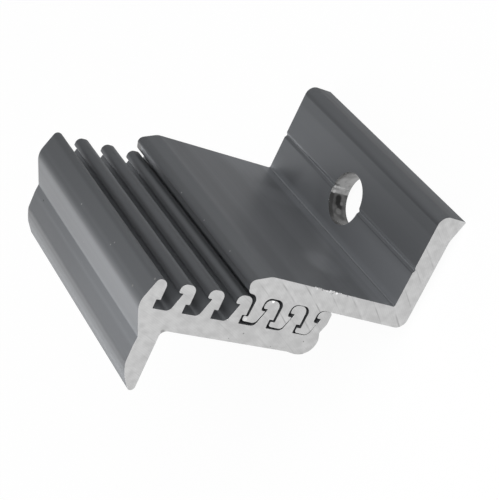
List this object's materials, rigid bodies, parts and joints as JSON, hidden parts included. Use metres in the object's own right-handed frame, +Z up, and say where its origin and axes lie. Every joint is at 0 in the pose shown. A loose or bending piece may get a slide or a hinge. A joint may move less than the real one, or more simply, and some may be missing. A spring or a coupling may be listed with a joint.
{
  "type": "solar panel end clamp",
  "caption": "Extruded aluminium end clamp: a foot bracket with a bolt hole, hooked onto the toothed rack of a bracket whose lip holds down a panel's frame.",
  "frame": {"origin": "middle of the bolt hole where it meets the underside of the foot", "axes": "+Z up along the bolt hole, +X towards the toe of the foot and away from the panel, Y along the extrusion"},
  "size_m": [0.0388, 0.047, 0.048],
  "materials": {
    "dark_skin": "satin anthracite coating, bare where it is sawn or drilled"
  },
  "bodies": {
    "foot": {"foot_bracket": "dark_skin"},
    "lip": {"lip_bracket": "dark_skin"}
  },
  "joints": [
    {"name": "rack_slide", "type": "slide", "parent": "foot", "child": "lip", "axis": [0, 1, 0], "range_m": [-0.048, 0.048]}
  ]
}
